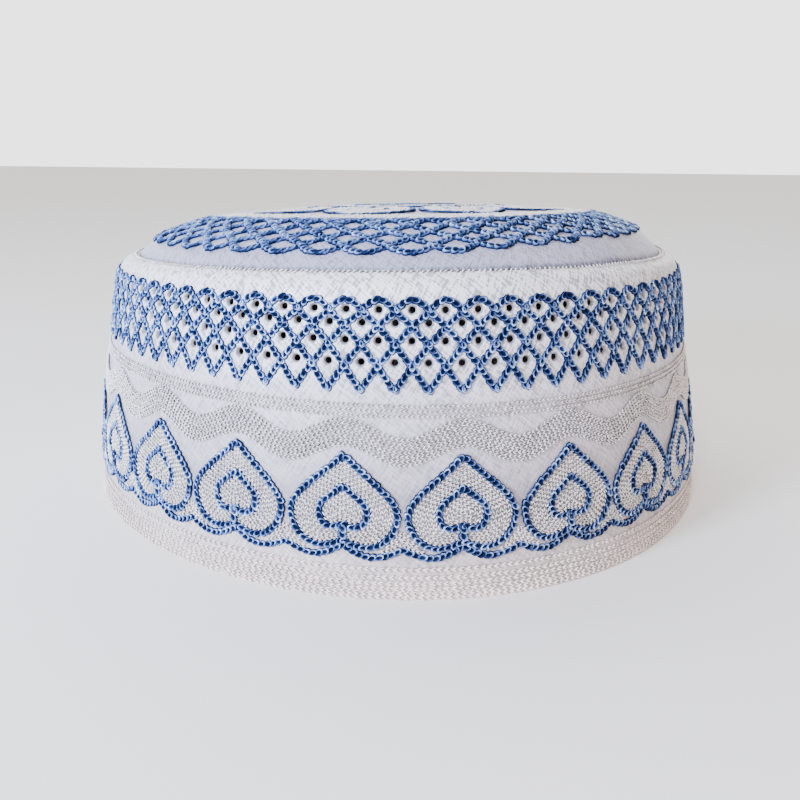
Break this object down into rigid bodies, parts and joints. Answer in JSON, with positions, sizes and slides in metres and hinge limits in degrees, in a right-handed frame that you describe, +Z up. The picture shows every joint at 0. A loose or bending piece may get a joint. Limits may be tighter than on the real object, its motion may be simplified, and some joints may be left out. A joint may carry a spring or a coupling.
{
  "type": "embroidered prayer cap",
  "caption": "Round brimless prayer cap of stiff white satin with a domed crown, a pierced lattice and raised hearts in blue and white chain stitch; open below for the head.",
  "frame": {"origin": "middle of the rim's box, on the surface that the rim rests on", "axes": "+Z up through the crown, the front of the cap towards -Y, the wearer's left towards +X"},
  "size_m": [0.1862, 0.1842, 0.0835],
  "materials": {
    "white_satin": "soft satin sheen",
    "white_thread": "lustrous chain stitch",
    "blue_thread": "lustrous chain stitch"
  },
  "bodies": {
    "root": {"side_wall": "white_satin", "crown_top": "white_satin", "seam_thread": "white_thread", "heart_01": "white_thread", "heart_02": "white_thread", "heart_03": "white_thread", "heart_04": "white_thread", "heart_05": "white_thread", "heart_06": "white_thread", "heart_07": "white_thread", "heart_08": "white_thread", "heart_09": "white_thread", "heart_10": "white_thread", "heart_11": "white_thread", "heart_12": "white_thread", "heart_13": "white_thread", "heart_14": "white_thread", "heart_15": "white_thread", "heart_16": "white_thread", "heart_17": "white_thread", "heart_18": "white_thread", "heart_19": "white_thread", "heart_20": "white_thread", "heart_21": "white_thread", "wave_band": "white_thread", "crown_ring": "white_thread", "crown_heart_01": "white_thread", "crown_heart_02": "white_thread", "crown_heart_03": "white_thread", "crown_heart_04": "white_thread", "crown_heart_05": "white_thread", "crown_heart_06": "white_thread", "crown_heart_07": "white_thread", "crown_heart_08": "white_thread", "crown_eye": "blue_thread"}
  },
  "joints": []
}
